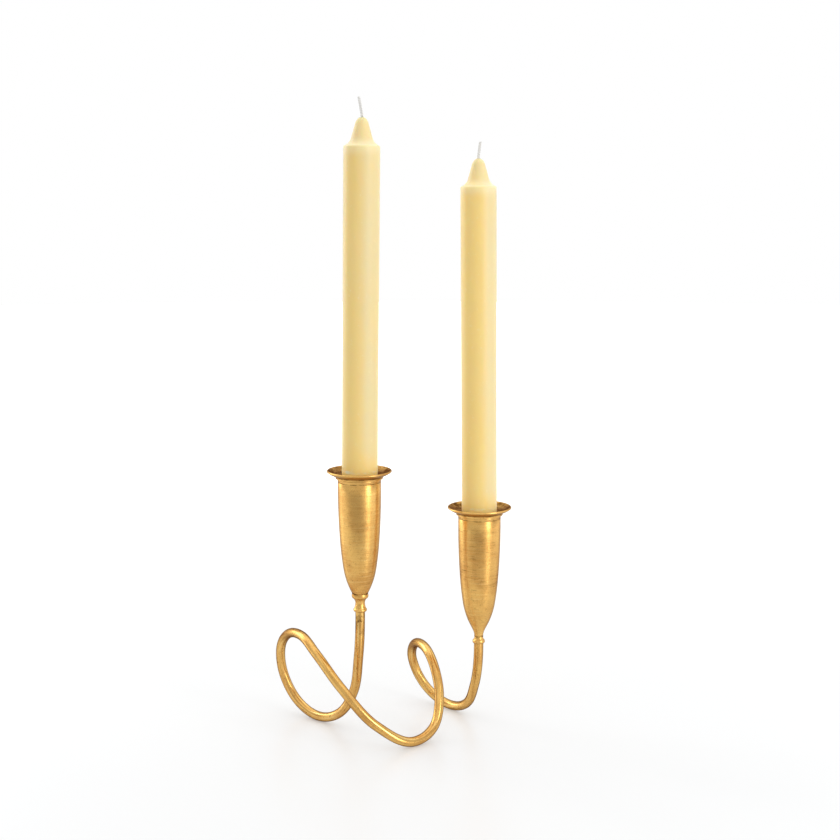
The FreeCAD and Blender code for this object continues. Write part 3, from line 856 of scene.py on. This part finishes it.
def spool_outline():
    """Left collar: foot bead, flare up to the waist, flare up to the neck, and head bead."""
    sizes = group("holder_sizes")
    top = height_of("left_neck_collar")
    head_low = top - sizes.spool_head_height
    outline = Outline(stud_hole(), 0)
    outline.line(sizes.rod_diameter / 2 + sizes.groove, 0)
    outline.arc(sizes.spool_foot_radius, sizes.spool_foot_height / 2, sizes.spool_foot_height * BEAD_BOW, 1)
    outline.smooth(sizes.spool_foot_radius - sizes.groove, sizes.spool_foot_height)
    outline.arc(sizes.spool_waist_radius, sizes.spool_waist_height, sizes.spool_flare_radius, -1)
    outline.smooth(sizes.spool_neck_radius, head_low)
    outline.arc(sizes.spool_head_radius, top - sizes.spool_head_height / 2,
                sizes.spool_head_height * RING_BOW, 1)
    outline.smooth(sizes.spool_head_radius - sizes.groove, top)
    outline.line(stud_hole(), top)
    return outline


def ring_outline():
    """Right collar: one ring, and a neck that meets the cup's own."""
    sizes = group("holder_sizes")
    top = height_of("right_neck_collar")
    outline = Outline(stud_hole(), 0)
    outline.line(sizes.rod_diameter / 2 + sizes.groove, 0)
    outline.arc(sizes.ring_radius, sizes.ring_height / 2, sizes.ring_height * RING_BOW, 1)
    outline.smooth(sizes.ring_neck_radius + sizes.groove, sizes.ring_height)
    outline.line(sizes.ring_neck_radius, sizes.ring_height + sizes.groove)
    outline.line(sizes.ring_neck_radius, top)
    outline.line(stud_hole(), top)
    return outline


def cup_outline(side):
    """Cup wall from the well's floor over the mouth and down the outside to the foot."""
    sizes = group("holder_sizes")
    low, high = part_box(side + "_candle_cup")
    washer_low, washer_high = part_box(side + "_cup_washer")
    washer_radius = (washer_high.x - washer_low.x) / 2
    foot = washer_low.z - low.z
    top = high.z - low.z
    seat = top - sizes.seat_depth
    bore = spigot_radius() + sizes.spigot_gap
    bore_low = top - sizes.spigot_length - sizes.spigot_floor_gap
    rim = mouth_radius()
    line = top - sizes.line_depth
    outline = Outline(stud_hole(), 0)
    outline.line(stud_hole(), foot)
    outline.line(washer_radius + sizes.floor_margin, foot)
    outline.line(well_radius(), foot + sizes.well_taper)
    outline.line(well_radius(), seat)
    outline.line(socket_radius(), seat)
    outline.line(socket_radius(), bore_low)
    outline.line(bore, bore_low)
    outline.line(bore, top)
    outline.line(rim, top)
    outline.arc(rim, top - sizes.bead_height, sizes.bead_height * BEAD_BOW, -1)
    outline.line(rim, line)
    outline.line(rim - sizes.line_cut, line - sizes.line_width / 2)
    outline.line(rim, line - sizes.line_width)
    outline.arc(socket_radius() + sizes.shoulder_wall, seat - sizes.shoulder_drop, sizes.side_radius, -1)
    outline.smooth(well_radius() + sizes.belly_wall, foot + sizes.belly_height)
    if side == "left":
        outline.smooth(sizes.spool_head_radius - sizes.foot_step, 0)
    else:
        outline.smooth(sizes.ring_neck_radius + sizes.throat_swell, foot - sizes.throat_drop)
        outline.smooth(sizes.ring_neck_radius, sizes.neck_land)
        outline.line(sizes.ring_neck_radius, 0)
    return outline


def pan_outline(side):
    """Drip pan: spigot, hub ring, flared dish with a rounded rim, and a hole for the candle."""
    sizes = group("holder_sizes")
    top = height_of(side + "_drip_pan")
    hub_low = sizes.spigot_length
    dish_low = hub_low + sizes.hub_height
    hub = mouth_radius() + sizes.hub_overhang
    dish_foot = hub + sizes.dish_step
    rim = dish_foot + sizes.dish_flare
    outline = Outline(socket_radius(), 0)
    outline.line(spigot_radius(), 0)
    outline.line(spigot_radius(), hub_low)
    outline.line(hub, hub_low)
    outline.line(hub, dish_low - sizes.hub_groove)
    outline.line(dish_foot, dish_low)
    outline.arc(rim, top - sizes.sheet, sizes.flare_radius, 1)
    outline.arc(rim - sizes.sheet * RIM_SHARE, top, sizes.sheet * BEAD_BOW, 1)
    outline.arc(dish_foot - sizes.sheet * RIM_SHARE, dish_low + sizes.sheet, sizes.flare_radius, -1)
    outline.line(socket_radius(), dish_low + sizes.sheet)
    return outline


def turn_gilt(node, outline, edge_round, body="holder", **finish):
    """Turns a gilt piece, finishes it and puts it in the place of its node."""
    piece = turned_piece("gilt_" + node, outline, foot_of(node))
    finish_mesh(piece, gilding("gilt_" + node, turned_grain, **finish), edge_round)
    hand_over(piece, body, node)


class CANDLEHOLDER_OT_neck_collars(bpy.types.Operator):
    """Turns the two collars that stand on the stems"""

    bl_idname = "candle_holder.neck_collars"
    bl_label = "Neck collars"

    def execute(self, context):
        sizes = group("holder_sizes")
        for side, outline in (("left", spool_outline()), ("right", ring_outline())):
            node = side + "_neck_collar"
            foot, head = [corner.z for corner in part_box(node)]
            # crevices: patina and painted shade at the collar's foot and head
            turn_gilt(node, outline, sizes.edge_round / 2, smudges=0.4,
                      crevices=[(foot, CREVICE_REACH), (head, HEAD_CREVICE_REACH)])
        return {"FINISHED"}


class CANDLEHOLDER_OT_candle_cups(bpy.types.Operator):
    """Turns the two tulip cups with their sockets and wells"""

    bl_idname = "candle_holder.candle_cups"
    bl_label = "Candle cups"

    def execute(self, context):
        sizes = group("holder_sizes")
        for side, scratches in (("left", 0.35), ("right", 0.75)):
            node = side + "_candle_cup"
            foot, mouth = [corner.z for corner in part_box(node)]
            # lines: patina and painted shade in the scored line and at the cup's foot
            lines = [(mouth - sizes.line_depth, sizes.line_width), (foot, CUP_FOOT_CREVICE_REACH)]
            turn_gilt(node, cup_outline(side), sizes.edge_round, smudges=0.45, scratches=scratches,
                      crevices=lines)
        return {"FINISHED"}


class CANDLEHOLDER_OT_drip_pans(bpy.types.Operator):
    """Turns the two drip pans"""

    bl_idname = "candle_holder.drip_pans"
    bl_label = "Drip pans"

    def execute(self, context):
        sizes = group("holder_sizes")
        for side in SIDES:
            node = side + "_drip_pan"
            foot = foot_of(node)
            groove = foot.z + sizes.spigot_length + sizes.hub_height - sizes.hub_groove
            rim = mouth_radius() + sizes.hub_overhang + sizes.dish_step + sizes.dish_flare
            # crevices: patina and painted shade in the hub's groove; hollow: painted shade inside the dish
            turn_gilt(node, pan_outline(side), sizes.edge_round, side + "_pan", smudges=0.6,
                      scratches=0.2, crevices=[(groove, CREVICE_REACH)], hollow=(foot, rim))
        return {"FINISHED"}


class CANDLEHOLDER_OT_cup_fasteners(bpy.types.Operator):
    """Finishes the nuts and washers on the cups' floors"""

    bl_idname = "candle_holder.cup_fasteners"
    bl_label = "Cup fasteners"

    def execute(self, context):
        steel = steel_material()
        for side in SIDES:
            for kind in ("washer", "nut"):
                node = frame["nodes"]["%s_cup_%s" % (side, kind)]
                node.data.materials.clear()
                node.data.materials.append(steel)
        return {"FINISHED"}


# Candles and wicks


def candle_outline(taper):
    """Candle: straight side, rounded shoulder, drawn-in tip and the wick's hole along the axis."""
    sizes = group("candle_sizes")
    radius = sizes.diameter / 2
    hole = sizes.wick_diameter / 2 + sizes.wick_gap
    top = taper.length
    neck = top - sizes.dome_rise
    shoulder = neck - sizes.taper_rise - sizes.tip_base_rise
    outline = Outline(hole, 0)
    outline.line(radius - sizes.foot_round, 0)
    outline.arc(radius, sizes.foot_round, sizes.foot_round * CANDLE_FOOT_BOW, 1)
    outline.line(radius, shoulder)
    outline.arc(radius - sizes.shoulder_round, shoulder + sizes.shoulder_round,
                sizes.shoulder_round * CANDLE_SHOULDER_BOW, 1)
    outline.arc(sizes.tip_base_radius, shoulder + sizes.tip_base_rise, sizes.tip_curve, -1)
    outline.line(sizes.tip_neck_radius, neck)
    outline.smooth(hole, top)
    return outline


class CANDLEHOLDER_OT_candles(bpy.types.Operator):
    """Casts the two candles, each standing a little askew in its socket"""

    bl_idname = "candle_holder.candles"
    bl_label = "Candles"

    def execute(self, context):
        for side in SIDES:
            taper = Taper(side)
            piece = turned_piece("wax_%s_candle" % side, candle_outline(taper), taper.foot, taper.axis)
            finish_mesh(piece, wax_material(side, taper))
            hand_over(piece, side + "_taper", side + "_candle")
        return {"FINISHED"}


def plait_strand(curve, taper, phase):
    """One strand of the plait: it swings across the wick and passes over and under the other two."""
    sizes = group("candle_sizes")
    run = taper.wick_length - curve.bevel_depth
    count = math.ceil(run / sizes.plait_pitch * PLAIT_POINTS)
    swing = sizes.wick_diameter / 2 - curve.bevel_depth
    spline = curve.splines.new("POLY")
    spline.points.add(count)
    for index, knot in enumerate(spline.points):
        distance = run * index / count
        middle, across = taper.wick_point(distance)
        turn = math.tau * (distance / sizes.plait_pitch + phase)
        over = Vector((0, 1, 0)) * math.sin(2 * turn) * PLAIT_DEPTH_SHARE
        knot.co = (*(middle + (across * math.sin(turn) + over) * swing), 1)


class CANDLEHOLDER_OT_wicks(bpy.types.Operator):
    """Plaits the two wicks and bends their ends over"""

    bl_idname = "candle_holder.wicks"
    bl_label = "Wicks"

    def execute(self, context):
        cotton = cotton_material()
        thickness = group("candle_sizes").wick_diameter * STRAND_SHARE
        for side in SIDES:
            taper = Taper(side)
            curve = new_curve("cotton_%s_wick" % side, thickness, STRAND_ROUND_STEPS)
            for strand in range(STRANDS):
                plait_strand(curve, taper, strand / STRANDS)
            piece = mesh_from_curve(curve)
            finish_mesh(piece, cotton)
            hand_over(piece, side + "_taper", side + "_wick")
        return {"FINISHED"}


# Stage


def studio_world(scene):
    """A room that is dimmer in front than behind and above; the camera sees white all round."""
    world = bpy.data.worlds.new("studio")
    world.use_nodes = True
    scene.world = world
    shader = Shader(world.node_tree)
    way = shader.node("ShaderNodeTexCoord", output="Generated")
    back, up = shader.part(way, "Y"), shader.part(way, "Z")
    level = ROOM_LEVEL + back.step(-0.15, 0.45) * BACK_LEVEL + up.step(0.45, 0.95) * TOP_LEVEL
    level = shader.mixed(shader.ray("Camera"), level, WHITE)
    light = shader.node("ShaderNodeBackground", None, {"Color": level, "Strength": 1.0})
    shader.node("ShaderNodeOutputWorld", None, {"Surface": light})


def softbox(name, place, size, watts):
    """A rectangular lamp that faces the holder."""
    lamp = bpy.data.lights.new(name, "AREA")
    lamp.shape = "RECTANGLE"
    lamp.size, lamp.size_y = size
    lamp.energy = watts
    light = bpy.data.objects.new(name, lamp)
    light.location = place
    light.rotation_euler = (LIGHT_AIM - place).to_track_quat("-Z", "Y").to_euler()
    bpy.context.scene.collection.objects.link(light)


def paper_material():
    """White paper that keeps the holder's soft shadow and reads as white round it."""
    shades = group("finish_colours")
    material, shader = new_material("white_paper")
    place = shader.place()
    fibre = shader.noise(place, PAPER_FIBRE, detail=2.0)
    right, back = shader.part(place, "X"), shader.part(place, "Y")
    # painted shade: the paper in front is darkened for what the gilt mirrors and for bounce light, and
    # lifted back to white for the camera
    front = back.step(-0.20, -0.42) * (1 - right.step(0.10, 0.45) * 0.8)
    sheet = shader.mixed(fibre * 0.03, shades.floor, PAPER_FIBRE_GREY)
    matt = shader.node("ShaderNodeBsdfDiffuse", None, {"Color": shader.mixed(front * 0.50, sheet, BLACK)})
    gloss = shader.node("ShaderNodeBsdfGlossy", None, {"Color": (1, 1, 1, 1), "Roughness": 0.35})
    glance = shader.node("ShaderNodeFresnel", None, {"IOR": 1.45})
    paper = shader.node("ShaderNodeMixShader", None, {0: glance, 1: matt, 2: gloss})
    seen = shader.ray("Camera")
    mirrored = shader.ray("Glossy") + shader.ray("Transmission")
    lift = PAPER_LIFT + shader.reach(place).step(0.2, 1.4) * 0.7
    lift = lift * (seen + mirrored * (1 - front)) + front * seen * 0.8
    tint = shader.node("ShaderNodeVectorMath", {"operation": "SCALE"}, {0: PAPER_TINT, "Scale": lift})
    glow = shader.node("ShaderNodeEmission", None, {"Color": tint})
    both = shader.node("ShaderNodeAddShader", None, {0: paper, 1: glow})
    shader.node("ShaderNodeOutputMaterial", None, {"Surface": both})
    return material


class CANDLEHOLDER_OT_stage(bpy.types.Operator):
    """Lays the paper, sets the light and places the camera"""

    bl_idname = "candle_holder.stage"
    bl_label = "Stage"

    def execute(self, context):
        studio = group("studio_settings")
        scene = context.scene
        bpy.ops.object.select_all(action="DESELECT")
        bpy.ops.mesh.primitive_circle_add(vertices=PAPER_CORNERS, radius=PAPER_RADIUS, fill_type="NGON",
                                          location=(0, 0, 0))
        paper = context.object
        paper.name = "paper"
        paper.data.materials.append(paper_material())
        studio_world(scene)
        softbox("key", KEY_PLACE, KEY_SIZE, studio.key_power)
        softbox("rim", RIM_PLACE, RIM_SIZE, studio.rim_power)
        camera = bpy.data.objects.new("camera", bpy.data.cameras.new("camera"))
        camera.data.lens = studio.camera_lens
        camera.location = (studio.camera_side, -studio.camera_distance, studio.camera_height)
        camera.rotation_euler = (math.pi / 2 - studio.camera_pitch, 0, 0)
        scene.collection.objects.link(camera)
        scene.camera = camera
        scene.view_settings.view_transform = "Standard"
        return {"FINISHED"}


STEPS = (
    CANDLEHOLDER_OT_spiral_rod,
    CANDLEHOLDER_OT_neck_collars,
    CANDLEHOLDER_OT_candle_cups,
    CANDLEHOLDER_OT_cup_fasteners,
    CANDLEHOLDER_OT_drip_pans,
    CANDLEHOLDER_OT_candles,
    CANDLEHOLDER_OT_wicks,
    CANDLEHOLDER_OT_stage,
)


class CANDLEHOLDER_PT_pieces(bpy.types.Panel):
    """Lists the pieces in the order they are made, and the values that shape them"""

    bl_idname = "CANDLEHOLDER_PT_pieces"
    bl_label = "Candle Holder"
    bl_space_type = "VIEW_3D"
    bl_region_type = "UI"
    bl_category = "Candle Holder"

    def draw(self, context):
        for step in STEPS:
            self.layout.operator(step.bl_idname)
        for name, kind in GROUPS.items():
            box = self.layout.box()
            box.label(text=kind.__doc__)
            for value in kind.__annotations__:
                box.prop(getattr(context.scene, name), value)


def register():
    for name, kind in GROUPS.items():
        bpy.utils.register_class(kind)
        setattr(bpy.types.Scene, name, PointerProperty(type=kind))
    for kind in (*STEPS, CANDLEHOLDER_PT_pieces):
        bpy.utils.register_class(kind)


def unregister():
    for kind in (CANDLEHOLDER_PT_pieces, *reversed(STEPS)):
        bpy.utils.unregister_class(kind)
    for name, kind in reversed(GROUPS.items()):
        delattr(bpy.types.Scene, name)
        bpy.utils.unregister_class(kind)


def main():
    register()
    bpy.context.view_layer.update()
    for step in STEPS:
        kind, name = step.bl_idname.split(".")
        getattr(getattr(bpy.ops, kind), name)()


if __name__ == "__main__":
    main()
